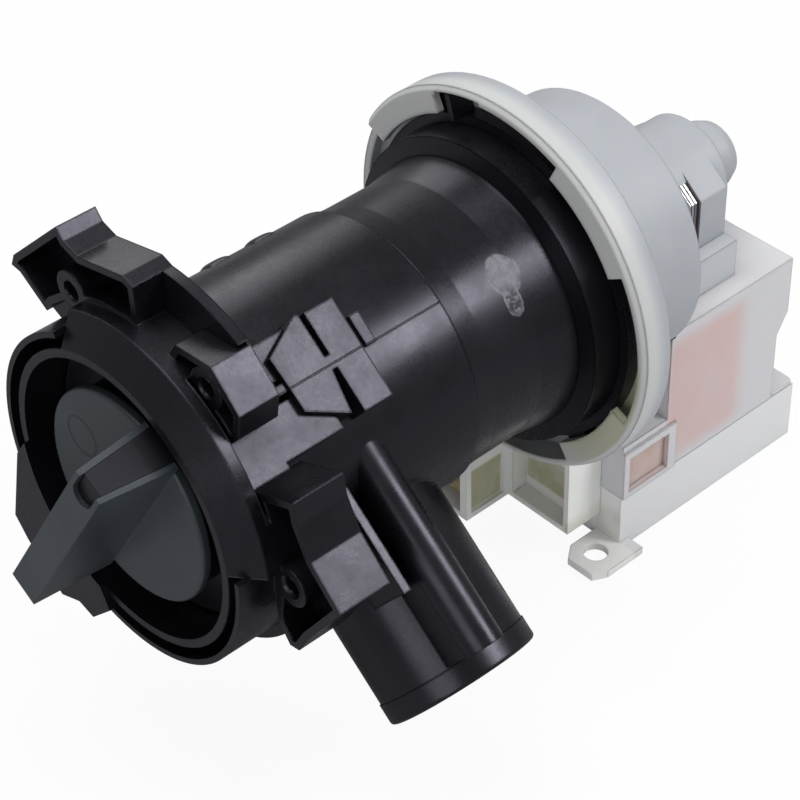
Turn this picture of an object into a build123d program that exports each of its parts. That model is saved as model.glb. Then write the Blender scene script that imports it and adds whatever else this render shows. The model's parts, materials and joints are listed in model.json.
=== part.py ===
from build123d import *
import math
import os

os.makedirs("parts", exist_ok=True)

# Drain pump of a washing machine, in millimetres. X runs along the pump axis from the filter
# knob to the motor, with zero in the plane of the three screw bosses. Z is up.

# Clearances and the overrun of every cut
overrun = 1.0
fit_gap = 0.3
running_gap = 0.04
seat_gap = 0.05

# Filter tube, along X from its mouth
tube_r = 36.0
wall = 2.6
mouth_front = -9.2
mouth_bore_r = 35.2
mouth_wall = 2.2
mouth_bore_end = 12.0
lip_r = 41.6
lip_wall = 1.5
lip_forward = 0.4
groove_end = 3.0
skirt_r = 44.6
skirt_shoulder = -4.0
lip_start_angle = 176.0
lip_arc = 249.0
step_x = 66.5
step_drop = 0.8
waist_r = 34.75
waist_start = 73.0
waist_end = 88.0
flare_x = 98.5
flare_r = 36.2
volute_r = 40.8
volute_x = 99.4
funnel_start = 72.0
funnel_end = 87.0
eye_r = 10.0
chamber_front = 94.0
chamber_r = 27.0
chamber_off = 1.2
rim_r = 43.6
rim_front = 107.6
rim_back = 111.7

# Flange with its three screw bosses and pockets
flange_r = 54.7
flange_front = 8.0
flange_back = 10.8
flange_start_angle = 24.0
flange_arc = 93.0
boss_circle_r = 46.8
boss_angles = (60.0, 119.5, 180.0)
boss_r = 5.0
boss_hole_r = 2.3
boss_hole_depths = (9.5, 9.0, 8.5)
boss_lead_ins = (0.3, 0.5, 0.7)
pocket_wall = 1.8

# Outlines of the three pockets and of the far ear, as shares of the flange radius in Y and Z
cap_shares = ((0.480, 1.031), (0.438, 0.980), (0.354, 0.953), (0.055, 1.022), (-0.006, 1.0),
              (-0.01, 0.80), (0.22, 0.77), (0.44, 0.70), (0.58, 0.59), (0.627, 0.53),
              (0.79, 0.64), (0.848, 0.647), (0.823, 0.709))
mid_shares = ((-0.141, 0.687), (-0.25, 0.859), (-0.464, 0.874), (-0.618, 0.722), (-0.60, 0.60),
              (-0.515, 0.506), (-0.30, 0.55))
low_shares = ((-0.640, 0.364), (-0.905, 0.473), (-0.923, 0.367), (-0.993, 0.225), (-1.155, 0.064),
              (-0.951, -0.216), (-0.887, -0.327), (-0.832, -0.336), (-0.768, -0.247), (-0.757, -0.115),
              (-0.751, 0.069))
ear_shares = ((0.60, -0.02), (0.709, -0.179), (0.808, -0.600), (0.729, -0.698), (0.514, -0.879),
              (0.382, -0.828), (0.287, -0.856), (0.15, -0.72), (0.3, -0.4))
ear_thickness = 2.6
ear_front = -10.6
low_block_back = 14.0

# Inlet stub, square to the pump axis
inlet_angle = -140.0
inlet_x = 39.8
inlet_r = 19.43
inlet_bore_r = 16.9
inlet_length = 76.0
inlet_edge = 0.9
inlet_seat = 5.4
inlet_seat_step = 0.3
inlet_relief = 0.4
inlet_relief_end = 34.0
rib_x = 34.6
rib_half = 5.2
rib_height = 31.0
rib_start = 10.0
rib_end = 70.0
fin_x = 25.3
fin_half = 1.05
fin_height = 26.8
fin_end = 50.6

# Outlet spigot, hidden behind the tube
outlet_angle = -50.0
outlet_x = 93.8
outlet_r = 10.6
outlet_bore_r = 8.5
outlet_length = 64.0
outlet_root_r = 11.0
outlet_root_end = 46.0

# Clip block on the side of the tube, in X and across the seam
side_angle = 130.0
clip_height = 40.5
clip_root = 30.0
clip_left = ((19.8, 0.8), (19.5, 7.7), (30.2, 13.2), (31.1, 12.7), (31.2, 2.1), (31.2, -1.1),
             (29.6, -11.3), (20.0, -5.9))
clip_right_x = (32.6, 40.7)
clip_right_w = (-12.4, 12.6)
clip_bridge_w = (-1.1, 2.1)
pad_height = 38.6
pad_x = (3.4, 27.0)
pad_upper_w = (3.0, 12.0)
pad_lower_w = (-13.0, -1.6)
trim_w = (-35.0, 12.4)
seam_bar_half = 1.1
seam_bar_height = 39.6
tab_x = (43.8, 46.6)
tab_w = (-0.3, 7.5)
tab_height = 36.9

# Screw thread between the housing and the filter
thread_lead = 16.0
ledge_arc = 150.0
ledge_axial = 2.0
ledge_radial = 1.9
ledge_root = 0.8
ledge_front = 21.5
lug_arc = 30.0

# Filter: grip, plug, seal and basket
grip_r = 26.8
grip_front = -7.6
grip_back = -4.8
grip_edge = 0.9
plug_boss_r = 25.4
handle_angle = -58.0
handle_front = -27.3
handle_up = 30.0
handle_down = 32.0
handle_foot = 28.0
handle_half = 4.35
handle_base_half = 6.2
handle_skin = 1.3
notch_in = 4.5
spine_root = 3.6
plug_flange_front = 2.0
plug_flange_back = 5.0
plug_flange_r = 34.5
plug_neck_r = 30.5
seal_width = 3.8
plug_rear_back = 11.4
skirt_out_r = 31.0
skirt_in_r = 28.6
plug_skirt_back = 28.0
basket_back = 68.0
basket_bar_count = 10
basket_bar_width = 2.6
basket_bar_height = 3.2
basket_ring_length = 3.0
basket_socket = 4.0

# Motor cover: ring, drum and rotor can
ring_r = 51.3
ring_wall = 2.3
ring_front = 105.0
ring_low_front = 109.4
low_start_angle = -29.0
low_arc = 59.0
ring_edge = 1.1
hook_thickness = 2.2
hook_r = 44.3
hook_arc = 35.0
hook_angles = (48.0, 133.0, 219.0, 308.0)
lock_lug_arc = 9.4
lock_lug_r = 48.2
lock_lug_lead = 11.5
lock_lug_back = 110.6
notch_start_angle = 67.0
notch_arc = 18.0
notch_floor_r = 49.9
stop_angle = 72.0
stop_half = 0.8
stop_r = 49.5
stop_root_r = 42.5
cover_front = 112.0
cover_plate = 2.8
drum_front_r = 37.0
drum_r = 35.7
drum_wall = 2.2
drum_edge = 1.0
drum_back = 142.6
drum_rib = 1.6
drum_rib_r = 35.3
drum_rib_count = 8
drum_rib_back = 136.0
seal_ring_r = 33.5
seal_section_r = 1.5

# Rotor, its can and its bearings
shaft_r = 2.5
shaft_front = 98.0
magnet_r = 9.2
magnet_gap = 0.6
magnet_length = 14.0
can_wall = 0.9
can_end_r = 7.9
shaft_chamfer = 0.4
rear_bearing_length = 5.0
can_seat_length = 12.0
can_seat_r = 11.4
bearing_r = 5.0
bearing_length = 8.0
mount_lip = 1.2
thrust_thickness = 1.0
can_end = 180.5

# Stator core, coils and their box
core_front = 158.3
core_length = 11.2
core_gap = 0.3
core_arch_r = 13.0
core_shoulder_y = 9.5
core_shoulder_z = 10.5
core_half = 16.9
core_side_top = 4.3
leg_width = 8.6
head_bottom = -16.5
leg_bottom = -66.0
yoke_height = 11.0
bobbin_wall = 1.1
bobbin_flange = 1.3
winding = 6.2
winding_end = 9.5
winding_round = 4.0
coil_top = -22.7
box_wall = 1.4
box_half = 28.0
box_front = 141.6
box_back = 187.6
box_top = -21.0
box_split = -66.4
box_step_front = 125.2
box_step_top = -49.0
window_x = (127.2, 141.6)
window_z = (-64.6, -53.4)
window_recess = 0.8
frame_x = (125.2, 144.6)
frame_top = -51.0
frame_rise = 0.8
back_notch = 3.8
back_notch_top = -38.3
back_notch_slope = 6.4
neck_half = 22.0
neck_back = 171.5
neck_top = -10.0
base_back = 193.0
base_bottom = -84.2
base_floor = 2.0

# Rear cap over the pole head and the end of the can
cap_front = 150.0
cap_r = 15.1
cap_shoulder = 2.0
cap_step = 174.4
cap_end_r = 9.5
cap_end = 187.0
cap_round = 4.0
round_share = 0.3
cap_wall = 1.2
hood_front = 161.2
hood_wall = 0.9

# Connector and lug of the terminal base
block_front = 113.0
block_near = -20.7
block_far = 21.0
block_bottom = -76.0
block_top = -51.9
block_wall = 1.7
block_recess = 5.0
shroud_front = 97.7
shroud_near = 1.2
panel_recess = 0.8
socket_depth = 15.0
blade_width = 6.3
blade_thickness = 0.8
blade_length = 15.0
blade_pitch = 8.0
blade_up = 2.9
blade_root = 3.0
lug_x = 118.3
lug_y = -26.1
lug_hole_r = 3.3
lug_thickness = 2.2
lug_near = -33.4
lug_front = 111.4
lug_back = 128.5
lug_corner = 4.0

# Impeller and its lost-motion coupling
blade_count = 6
impeller_r = 20.8
impeller_front = 99.0
impeller_disc = 1.6
impeller_nose = 2.4
cap_plate = 0.9
impeller_blade_back = 110.0
impeller_blade = 1.5
impeller_hub_r = 8.5
hub_wall = 1.4
hub_bore_depth = 8.0
claw_arc = 50.0
claw_r = 6.6
claw_core_r = 3.8
damper_arc = 40.0


def radial(angle):
    return Vector(0, math.cos(math.radians(angle)), math.sin(math.radians(angle)))


def meridian(angle):
    # Plane through the pump axis, with X along the axis and Y outwards at this angle
    return Plane(origin=(0, 0, 0), x_dir=(1, 0, 0),
                 z_dir=(0, -math.sin(math.radians(angle)), math.cos(math.radians(angle))))


def across(x, angle, start=0):
    # Plane square to a direction from the pump axis, with its X along the pump axis
    return Plane(origin=Vector(x, 0, 0) + radial(angle) * start, x_dir=(1, 0, 0), z_dir=radial(angle))


def station(x):
    return Plane.YZ.offset(x)


def lathe(points, start=0, arc=360, mode=Mode.ADD):
    # Turn a closed outline of (x, radius) points about the pump axis
    with BuildSketch(meridian(start)) as profile:
        with BuildLine():
            Polyline(*points, close=True)
        make_face()
    revolve(profile.sketch, axis=Axis.X, revolution_arc=arc, mode=mode)


def pipe(x0, x1, outer, inner=0, mode=Mode.ADD):
    with BuildSketch(station(x0)) as profile:
        Circle(outer)
        if inner > 0:
            Circle(inner, mode=Mode.SUBTRACT)
    extrude(profile.sketch, amount=x1 - x0, mode=mode)


def block(x0, x1, y0, y1, z0, z1, mode=Mode.ADD):
    with BuildSketch(Plane.XY.offset(z0)) as profile:
        with Locations(((x0 + x1) / 2, (y0 + y1) / 2)):
            Rectangle(x1 - x0, y1 - y0)
    extrude(profile.sketch, amount=z1 - z0, mode=mode)


def outline(shares, inset=0):
    with BuildLine() as edge:
        Polyline(*[(y * flange_r, z * flange_r) for y, z in shares], close=True)
    make_face(edge.edges())
    if inset:
        offset(amount=-inset, kind=Kind.INTERSECTION, mode=Mode.REPLACE)


def sector(radius, start, arc):
    # Pie slice in the current YZ sketch
    with BuildLine() as edge:
        rim = CenterArc((0, 0), radius, start, arc)
        Line((0, 0), rim @ 0)
        Line(rim @ 1, (0, 0))
    make_face(edge.edges())


def handle_plane(x):
    # Plane facing the user, with its X down the handle
    return Plane(origin=(x, 0, 0), x_dir=radial(handle_angle), z_dir=(-1, 0, 0))


def bar(root, front, up, foot, down, base_half, front_half, mode=Mode.ADD):
    # Tapering bar of the handle, from inside the grip's face to its front
    with BuildSketch(handle_plane(grip_front + root)) as base:
        with Locations(((foot - up) / 2, 0)):
            Rectangle(foot + up, 2 * base_half)
    with BuildSketch(handle_plane(front)) as face:
        with Locations(((down - up) / 2, 0)):
            Rectangle(down + up, 2 * front_half)
    loft([base.sketch, face.sketch], mode=mode)


def thread_rib(inner, outer, front, start, arc):
    # Piece of a right-hand thread round the pump axis, rising towards the mouth
    ground = Plane(origin=(front + ledge_axial / 2, 0, 0), x_dir=radial(start), z_dir=(-1, 0, 0))
    path = ground.location * Helix(thread_lead, thread_lead * arc / 360, (inner + outer) / 2,
                                   mode=Mode.PRIVATE)
    with BuildSketch(Plane(origin=path @ 0, x_dir=radial(start), z_dir=path % 0)) as section:
        Rectangle(outer - inner, ledge_axial)
    sweep(section.sketch, path=path, is_frenet=True)


def core_outline(grow):
    # Pole head with its arch and shoulders, and the two legs below it
    with BuildLine() as edge:
        Polyline((-core_shoulder_y, core_shoulder_z), (-core_half, core_side_top), (-core_half, leg_bottom),
                 (leg_width - core_half, leg_bottom), (leg_width - core_half, head_bottom),
                 (core_half - leg_width, head_bottom), (core_half - leg_width, leg_bottom),
                 (core_half, leg_bottom), (core_half, core_side_top), (core_shoulder_y, core_shoulder_z),
                 close=True)
    make_face(edge.edges())
    if grow:
        offset(amount=grow, kind=Kind.INTERSECTION, mode=Mode.REPLACE)
    Circle(core_arch_r)


def finish(piece, name):
    piece.part.label = name
    export_step(piece.part, "parts/" + name + ".step")


groove_r = mouth_bore_r + mouth_wall
tube_bore_r = tube_r - wall
can_seat_back = cover_front + can_seat_length
magnet_front = core_front + core_length / 2 - magnet_length / 2
magnet_back = magnet_front + magnet_length

# Moulded housing: tube, flange, mouth, stubs and locking rim
with BuildPart() as pump_housing:
    lathe([(mouth_front, 0), (mouth_front, groove_r), (flange_back, groove_r), (flange_back, tube_r),
           (step_x, tube_r), (step_x, tube_r - step_drop), (waist_start, waist_r), (waist_end, waist_r),
           (flare_x, flare_r), (volute_x, volute_r), (rim_front, volute_r), (rim_front, rim_r),
           (rim_back, rim_r), (rim_back, 0)])

    # Flange on the upper side of the mouth
    with BuildSketch(station(flange_front)):
        sector(flange_r, flange_start_angle, flange_arc)
        Circle(skirt_r)
    extrude(amount=flange_back - flange_front)

    # Skirt on the upper side of the mouth, lip and groove on the rest
    lathe([(mouth_front, 0), (mouth_front, groove_r), (skirt_shoulder, skirt_r), (flange_back, skirt_r),
           (flange_back, 0)], lip_start_angle + lip_arc, 360 - lip_arc)
    lathe([(groove_end, 0), (groove_end, lip_r - lip_wall), (mouth_front - lip_forward, lip_r - lip_wall),
           (mouth_front - lip_forward, lip_r), (flange_front, lip_r), (flange_back + wall, tube_r),
           (flange_back + wall, 0)], lip_start_angle, lip_arc)

    # Flat cut on the side of the flange
    with BuildSketch(across(0, side_angle, pad_height)):
        with Locations((flange_back / 2, sum(trim_w) / 2)):
            Rectangle(flange_back + 2 * overrun, trim_w[1] - trim_w[0])
    extrude(amount=flange_r, mode=Mode.SUBTRACT)

    # Pockets with a thin wall round each screw boss
    for shares, back in ((cap_shares, flange_back), (mid_shares, flange_back),
                         (low_shares, low_block_back)):
        with BuildSketch(station(0)):
            outline(shares)
        extrude(amount=back)
        with BuildSketch(station(0)):
            outline(shares, pocket_wall)
            Circle(skirt_r, mode=Mode.SUBTRACT)
        extrude(amount=flange_front, mode=Mode.SUBTRACT)
    with BuildSketch(station(ear_front)):
        outline(ear_shares)
    extrude(amount=ear_thickness)
    with BuildSketch(station(0)):
        with Locations(*[(boss_circle_r * math.cos(math.radians(a)),
                          boss_circle_r * math.sin(math.radians(a)))
                         for a in boss_angles]):
            Circle(boss_r)
    extrude(amount=flange_back)

    # Pads, clip plates and seam bar
    with BuildSketch(across(0, side_angle, clip_root)):
        for x_range, w_range in ((pad_x, pad_upper_w), (pad_x, pad_lower_w)):
            with Locations((sum(x_range) / 2, sum(w_range) / 2)):
                Rectangle(x_range[1] - x_range[0], w_range[1] - w_range[0])
    extrude(amount=pad_height - clip_root)
    with BuildSketch(across(0, side_angle, clip_root)):
        with Locations(((pad_x[0] + clip_right_x[0]) / 2, clip_left[0][1])):
            Rectangle(clip_right_x[0] - pad_x[0], 2 * seam_bar_half)
    extrude(amount=seam_bar_height - clip_root)
    with BuildSketch(across(0, side_angle, clip_root)):
        with BuildLine():
            Polyline(*clip_left, close=True)
        make_face()
        with Locations((sum(clip_right_x) / 2, sum(clip_right_w) / 2)):
            Rectangle(clip_right_x[1] - clip_right_x[0], clip_right_w[1] - clip_right_w[0])
        with Locations((clip_right_x[0], sum(clip_bridge_w) / 2)):
            Rectangle(clip_right_x[1] - clip_right_x[0], clip_bridge_w[1] - clip_bridge_w[0])
    extrude(amount=clip_height - clip_root)
    with BuildSketch(across(0, side_angle, clip_root)):
        with Locations((sum(tab_x) / 2, sum(tab_w) / 2)):
            Rectangle(tab_x[1] - tab_x[0], tab_w[1] - tab_w[0])
    extrude(amount=tab_height - clip_root)

    # Inlet stub with its long round rib and the fin beside it
    with BuildSketch(across(inlet_x, inlet_angle)):
        Circle(inlet_r - inlet_seat_step)
    extrude(amount=inlet_length - inlet_seat)
    with BuildSketch(across(inlet_x, inlet_angle, inlet_length - inlet_seat)):
        Circle(inlet_r)
    extrude(amount=inlet_seat)
    fillet(pump_housing.edges(Select.LAST).sort_by(Axis((0, 0, 0), radial(inlet_angle)))[-1], inlet_edge)
    with BuildSketch(across(0, inlet_angle, rib_start)):
        with Locations((rib_x, rib_height - rib_half)):
            Circle(rib_half)
        with Locations((rib_x, (rib_height - rib_half) / 2)):
            Rectangle(2 * rib_half, rib_height - rib_half)
    extrude(amount=rib_end - rib_start)
    with BuildSketch(across(0, inlet_angle, rib_start)):
        with Locations((fin_x, fin_height / 2)):
            Rectangle(2 * fin_half, fin_height)
    extrude(amount=fin_end - rib_start)

    # Outlet spigot and its thicker root
    with BuildSketch(across(outlet_x, outlet_angle)):
        Circle(outlet_r)
    extrude(amount=outlet_length)
    with BuildSketch(across(outlet_x, outlet_angle)):
        Circle(outlet_root_r)
    extrude(amount=outlet_root_end)

    # Locking lugs and the stop of the motor's bayonet
    with BuildSketch(station(rim_front)):
        for angle in hook_angles:
            sector(lock_lug_r, angle + lock_lug_lead - lock_lug_arc / 2, lock_lug_arc)
    extrude(amount=lock_lug_back - rim_front)
    with BuildSketch(station(ring_front)):
        with Locations(Rotation(0, 0, stop_angle)):
            with Locations(((stop_root_r + stop_r) / 2, 0)):
                Rectangle(stop_r - stop_root_r, 2 * stop_half)
    extrude(amount=rim_back - ring_front)

    # Filter bore, funnel and eye, impeller chamber
    lathe([(mouth_front - lip_forward - overrun, 0), (mouth_front - lip_forward - overrun, mouth_bore_r),
           (mouth_bore_end, mouth_bore_r), (mouth_bore_end + mouth_bore_r - tube_bore_r, tube_bore_r),
           (step_x, tube_bore_r), (funnel_start, waist_r - wall), (funnel_end, eye_r),
           (chamber_front + overrun, eye_r), (chamber_front + overrun, 0)], mode=Mode.SUBTRACT)
    with BuildSketch(station(chamber_front)):
        with Locations((chamber_off * radial(outlet_angle).Y, chamber_off * radial(outlet_angle).Z)):
            Circle(chamber_r)
    extrude(amount=rim_back - chamber_front + overrun, mode=Mode.SUBTRACT)
    with BuildSketch(station(rim_back)):
        Circle(seal_ring_r + seal_section_r)
        Circle(seal_ring_r - seal_section_r, mode=Mode.SUBTRACT)
    extrude(amount=-(2 * seal_section_r - (cover_front - rim_back) + seat_gap), mode=Mode.SUBTRACT)
    with BuildSketch(across(inlet_x, inlet_angle)):
        Circle(inlet_bore_r)
    extrude(amount=inlet_length + overrun, mode=Mode.SUBTRACT)
    with BuildSketch(across(inlet_x, inlet_angle)):
        Circle(inlet_bore_r + inlet_relief)
    extrude(amount=inlet_relief_end, mode=Mode.SUBTRACT)
    with BuildSketch(across(outlet_x, outlet_angle, eye_r + wall + outlet_bore_r)):
        Circle(outlet_bore_r)
    extrude(amount=outlet_length + overrun, mode=Mode.SUBTRACT)

    # Screw holes with their lead-ins
    for angle, depth, lead_in in zip(boss_angles, boss_hole_depths, boss_lead_ins):
        with BuildSketch(station(0)):
            with Locations((boss_circle_r * math.cos(math.radians(angle)),
                            boss_circle_r * math.sin(math.radians(angle)))):
                Circle(boss_hole_r)
        extrude(amount=depth, mode=Mode.SUBTRACT)
        rims = pump_housing.edges(Select.LAST).filter_by(GeomType.CIRCLE).sort_by(Axis.X)
        chamfer(rims[0], lead_in)
    # Sloping ledges that hold the filter's lugs
    for start in (0, 180):
        thread_rib(tube_bore_r - ledge_radial, tube_bore_r + ledge_root, ledge_front, start, ledge_arc)
finish(pump_housing, "pump_housing")

# Grey grip: a plate with a hollow handle, open at its upper end
with BuildPart() as filter_grip:
    pipe(grip_front, grip_back, grip_r)
    fillet(filter_grip.edges().filter_by(GeomType.CIRCLE), grip_edge)
    bar(0, handle_front, handle_up, handle_foot, handle_down, handle_base_half, handle_half)
    bar(spine_root, handle_front + handle_skin, handle_up + overrun, handle_foot - handle_skin,
        handle_down - handle_skin, handle_base_half - handle_skin, handle_half - handle_skin, Mode.SUBTRACT)
    with BuildSketch(handle_plane(handle_front - overrun)):
        with Locations((-(handle_up - notch_in), 0)):
            Circle(handle_half - handle_skin)
        with Locations((-(handle_up + overrun - notch_in / 2), 0)):
            Rectangle(2 * overrun + notch_in, 2 * (handle_half - handle_skin))
    extrude(amount=-(handle_skin + 2 * overrun), mode=Mode.SUBTRACT)
finish(filter_grip, "filter_grip")

# Black plug with the spine of the handle, the seal groove and the threaded skirt
plug_front = grip_back + seat_gap
seal_back = plug_flange_back + seal_width + 2 * seat_gap
with BuildPart() as filter_plug:
    lathe([(plug_front, 0), (plug_front, plug_boss_r), (plug_flange_front, plug_boss_r),
           (plug_flange_front, plug_flange_r), (plug_flange_back, plug_flange_r), (plug_flange_back,
                                                                                   plug_neck_r),
           (seal_back, plug_neck_r), (seal_back, plug_flange_r), (plug_rear_back, plug_flange_r),
           (plug_rear_back, skirt_out_r), (plug_skirt_back, skirt_out_r), (plug_skirt_back, skirt_in_r),
           (seal_back, skirt_in_r), (seal_back, plug_boss_r - wall),
           (plug_front + wall, plug_boss_r - wall), (plug_front + wall, 0)])
    spine_gap = handle_skin + seat_gap
    bar(spine_root, handle_front + spine_gap, handle_up - seat_gap, handle_foot - spine_gap,
        handle_down - spine_gap, handle_base_half - spine_gap, handle_half - spine_gap)
    for start in (0, 180):
        thread_rib(skirt_out_r - ledge_root, tube_bore_r - fit_gap, ledge_front + ledge_axial + fit_gap,
                   start, lug_arc)
finish(filter_plug, "filter_plug")

# Lip seal in the groove of the plug
with BuildPart() as filter_seal:
    seal_in_r = plug_neck_r + fit_gap
    seal_out_r = mouth_bore_r - fit_gap
    seal_front = plug_flange_back + seat_gap
    lathe([(seal_front, seal_in_r), (seal_front, seal_out_r - seal_width / 4),
           (seal_front + seal_width / 4, seal_out_r), (seal_front + seal_width / 2,
                                                       seal_out_r - seal_width / 4),
           (seal_front + seal_width * 3 / 4, seal_out_r), (seal_front + seal_width,
                                                           seal_out_r - seal_width / 4),
           (seal_front + seal_width, seal_in_r)])
finish(filter_seal, "filter_seal")

# Basket of long bars between two rings, pushed into the skirt of the plug
with BuildPart() as filter_basket:
    basket_r = skirt_in_r - seat_gap
    basket_front = plug_skirt_back - basket_socket
    pipe(basket_front, plug_skirt_back + basket_ring_length, basket_r, basket_r - basket_bar_height)
    pipe(basket_back - basket_ring_length, basket_back, basket_r, basket_r - basket_bar_height)
    with BuildSketch(station(basket_front)):
        with PolarLocations(basket_r - basket_bar_height / 2, basket_bar_count):
            Rectangle(basket_bar_height - 2 * seat_gap, basket_bar_width)
    extrude(amount=basket_back - basket_front)
finish(filter_basket, "filter_basket")

# White cover of the motor: ring with hooks, drum and the can round the rotor
can_bore_r = magnet_r + magnet_gap
can_r = can_bore_r + can_wall
core_middle = core_front + core_length / 2
can_step = magnet_back + fit_gap + can_wall
with BuildPart() as motor_cover:
    cover_back = cover_front + cover_plate
    lathe([(cover_front, 0), (cover_front, ring_r - ring_wall), (ring_front, ring_r - ring_wall),
           (ring_front, ring_r - ring_edge), (ring_front + ring_edge, ring_r),
           (cover_back - ring_edge, ring_r),
           (cover_back, ring_r - ring_edge), (cover_back, drum_front_r), (drum_back - drum_edge, drum_r),
           (drum_back, drum_r - drum_edge), (drum_back, drum_r - drum_wall),
           (cover_back, drum_front_r - drum_wall), (cover_back, can_seat_r + drum_wall),
           (can_seat_back, can_seat_r + drum_wall), (can_seat_back, can_r),
           (can_step, can_r), (can_step, can_end_r), (can_end, can_end_r), (can_end, 0)])
    with BuildSketch(station(cover_back)):
        with PolarLocations((can_seat_r + drum_wall / 2 + drum_rib_r) / 2, drum_rib_count):
            Rectangle(drum_rib_r - can_seat_r - drum_wall / 2, drum_rib)
    extrude(amount=drum_rib_back - cover_back)
    with BuildSketch(station(ring_front - overrun)):
        sector(ring_r + overrun, low_start_angle, low_arc)
    extrude(amount=ring_low_front - ring_front + overrun, mode=Mode.SUBTRACT)
    with BuildSketch(station(ring_front)):
        for angle in hook_angles:
            sector(ring_r - ring_wall / 2, angle - hook_arc / 2, hook_arc)
        Circle(hook_r, mode=Mode.SUBTRACT)
    extrude(amount=hook_thickness)
    with BuildSketch(station(ring_front - overrun)):
        sector(notch_floor_r, notch_start_angle, notch_arc)
        Circle(hook_r, mode=Mode.SUBTRACT)
    extrude(amount=cover_front - ring_front + overrun, mode=Mode.SUBTRACT)
    lathe([(cover_front - overrun, 0), (cover_front - overrun, can_seat_r), (can_seat_back - drum_wall,
                                                                             can_seat_r),
           (can_seat_back - drum_wall, can_bore_r), (can_step - can_wall, can_bore_r),
           (can_step - can_wall, can_end_r - can_wall),
           (can_end - can_wall, can_end_r - can_wall), (can_end - can_wall, 0)], mode=Mode.SUBTRACT)
finish(motor_cover, "motor_cover")

# O-ring between the housing and the motor cover
with BuildPart() as volute_seal:
    with BuildSketch(Plane.XZ):
        with Locations((cover_front - seal_section_r - seat_gap, seal_ring_r)):
            Circle(seal_section_r - 2 * seat_gap)
    revolve(axis=Axis.X)
finish(volute_seal, "volute_seal")

# Sleeve bearings in their rubber mounts
front_mount_front = cover_front + mount_lip
front_mount_back = can_seat_back - drum_wall - seat_gap
with BuildPart() as front_bearing_mount:
    pipe(front_mount_front, front_mount_back, can_seat_r - seat_gap, bearing_r + seat_gap)
finish(front_bearing_mount, "front_bearing_mount")
with BuildPart() as front_bearing:
    pipe(front_mount_back - bearing_length, front_mount_back, bearing_r, shaft_r + running_gap)
finish(front_bearing, "front_bearing")
with BuildPart() as rear_bearing_mount:
    pipe(can_end - can_wall - seat_gap - rear_bearing_length, can_end - can_wall - seat_gap,
         can_end_r - can_wall - seat_gap, bearing_r + seat_gap)
finish(rear_bearing_mount, "rear_bearing_mount")
with BuildPart() as rear_bearing:
    pipe(can_end - can_wall - seat_gap - rear_bearing_length, can_end - can_wall - seat_gap,
         bearing_r, shaft_r + running_gap)
finish(rear_bearing, "rear_bearing")

# Rotor: shaft, magnet with its sleeve, thrust washer and driving claw
with BuildPart() as rotor_shaft:
    pipe(shaft_front, can_end - can_wall - fit_gap, shaft_r)
    chamfer(rotor_shaft.edges().filter_by(GeomType.CIRCLE), shaft_chamfer)
finish(rotor_shaft, "rotor_shaft")
washer_front = front_mount_back + fit_gap
with BuildPart() as thrust_washer:
    pipe(washer_front, washer_front + thrust_thickness, bearing_r + mount_lip, shaft_r + seat_gap)
finish(thrust_washer, "thrust_washer")
with BuildPart() as rotor_magnet:
    pipe(magnet_front, magnet_back, magnet_r, shaft_r + seat_gap)
    pipe(washer_front + thrust_thickness + seat_gap, magnet_front, bearing_r, shaft_r + seat_gap)
finish(rotor_magnet, "rotor_magnet")
hub_front = impeller_front + impeller_nose
with BuildPart() as drive_claw:
    pipe(hub_front + fit_gap, hub_front + hub_bore_depth - fit_gap, claw_core_r, shaft_r + seat_gap)
    with BuildSketch(station(hub_front + fit_gap)):
        sector(claw_r, -claw_arc / 2, claw_arc)
        Circle(claw_core_r - seat_gap, mode=Mode.SUBTRACT)
    extrude(amount=hub_bore_depth - 2 * fit_gap)
finish(drive_claw, "drive_claw")

# Impeller with a hollow hub that turns a part turn on the claw before it is driven
hub_bore_r = impeller_hub_r - hub_wall
with BuildPart() as impeller:
    pipe(impeller_front, impeller_blade_back, impeller_hub_r)
    pipe(impeller_blade_back - impeller_disc, impeller_blade_back, impeller_r)
    with BuildSketch(station(impeller_front)):
        with PolarLocations((impeller_hub_r + impeller_r - hub_wall) / 2, blade_count):
            Rectangle(impeller_r - impeller_hub_r + hub_wall, impeller_blade)
    extrude(amount=impeller_blade_back - impeller_front)
    pipe(hub_front, impeller_blade_back + overrun, hub_bore_r, mode=Mode.SUBTRACT)
    pipe(impeller_front - overrun, hub_front + overrun, shaft_r + running_gap, mode=Mode.SUBTRACT)
    with BuildSketch(station(hub_front - seat_gap)):
        sector(hub_bore_r + hub_wall / 2, 180 - claw_arc / 2, claw_arc)
        Circle(claw_core_r + fit_gap, mode=Mode.SUBTRACT)
    extrude(amount=hub_bore_depth - fit_gap)
finish(impeller, "impeller")
with BuildPart() as coupling_damper:
    with BuildSketch(station(hub_front + seat_gap)):
        sector(hub_bore_r - seat_gap, 180 + claw_arc / 2, damper_arc)
        Circle(claw_core_r + fit_gap, mode=Mode.SUBTRACT)
    extrude(amount=hub_bore_depth - 2 * fit_gap)
finish(coupling_damper, "coupling_damper")
with BuildPart() as hub_cap:
    pipe(impeller_blade_back - cap_plate, impeller_blade_back, hub_bore_r - seat_gap, shaft_r + fit_gap)
finish(hub_cap, "hub_cap")

# Laminated core: pole head, two legs, and the yoke that closes them
can_clear_r = can_r + core_gap
with BuildPart() as stator_core:
    with BuildSketch(station(core_front)):
        core_outline(0)
        Circle(can_clear_r, mode=Mode.SUBTRACT)
    extrude(amount=core_length)
finish(stator_core, "stator_core")
with BuildPart() as core_yoke:
    block(core_front, core_front + core_length, -core_half, core_half, leg_bottom - yoke_height,
          leg_bottom - seat_gap)
finish(core_yoke, "core_yoke")

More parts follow.
